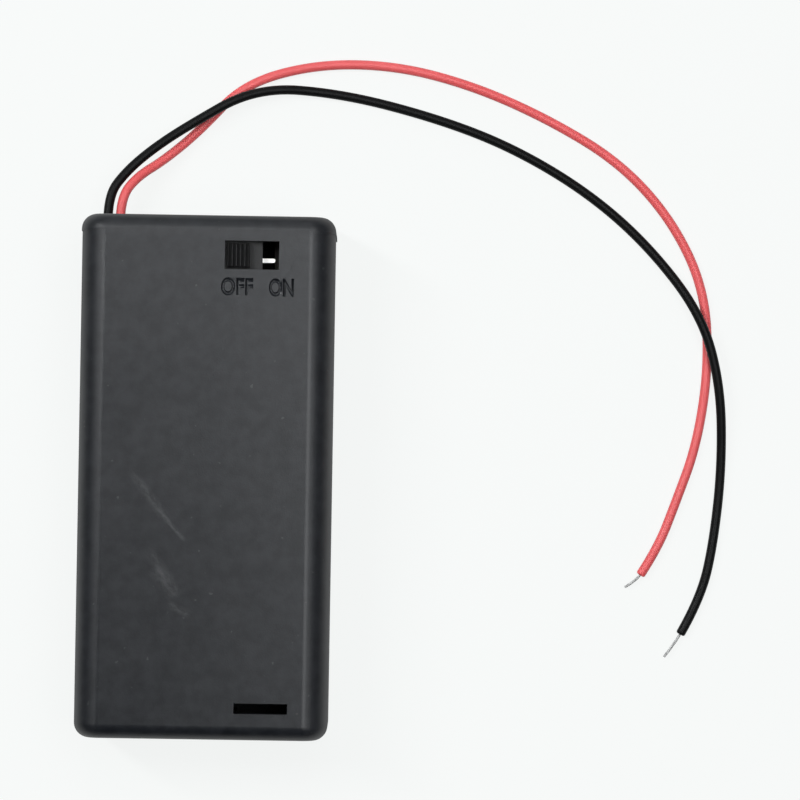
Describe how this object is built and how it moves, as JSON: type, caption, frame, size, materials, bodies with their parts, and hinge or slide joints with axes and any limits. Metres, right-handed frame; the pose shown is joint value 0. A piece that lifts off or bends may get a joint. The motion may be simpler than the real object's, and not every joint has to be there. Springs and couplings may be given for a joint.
{
  "type": "cylindrical cell holder",
  "caption": "Closed holder for AA cells side by side in series, with a slide switch in its face, a sliding cover underneath and a red and a black lead.",
  "frame": {"origin": "centre of the case in plan, on the outer face of the sliding cover, which is the bottom", "axes": "+Z out of the face with the switch, +Y towards the end that the leads leave, +X towards the ON side"},
  "size_m": [0.088, 0.0926, 0.019],
  "materials": {
    "case_plastic": "satin moulded",
    "knob_plastic": "satin moulded",
    "wiper_metal": "bright rolled",
    "contact_plate": "nickel plated",
    "spring_wire": "nickel plated",
    "red_insulation": "soft satin",
    "black_insulation": "soft satin",
    "tinned_wire": "tinned strands",
    "solder": "bright solder"
  },
  "bodies": {
    "case": {"case_body": "case_plastic", "off_contact": "contact_plate", "negative_contact": "contact_plate", "negative_spring": "spring_wire", "positive_contact": "contact_plate", "series_link": "contact_plate", "series_spring": "spring_wire", "red_lead": "red_insulation", "red_lead_end": "tinned_wire", "red_lead_held": "red_insulation", "red_lead_core": "tinned_wire", "red_solder": "solder", "black_lead": "black_insulation", "black_lead_end": "tinned_wire", "black_lead_held": "black_insulation", "black_lead_core": "tinned_wire", "black_solder": "solder"},
    "cover": {"sliding_cover": "case_plastic"},
    "slider": {"switch_slider": "knob_plastic", "switch_wiper": "wiper_metal"}
  },
  "joints": [
    {"name": "cover_slide", "type": "slide", "parent": "case", "child": "cover", "axis": [0, -1, 0], "range_m": [0, 0.07]},
    {"name": "switch_slide", "type": "slide", "parent": "case", "child": "slider", "axis": [1, 0, 0], "range_m": [0, 0.0036]}
  ]
}
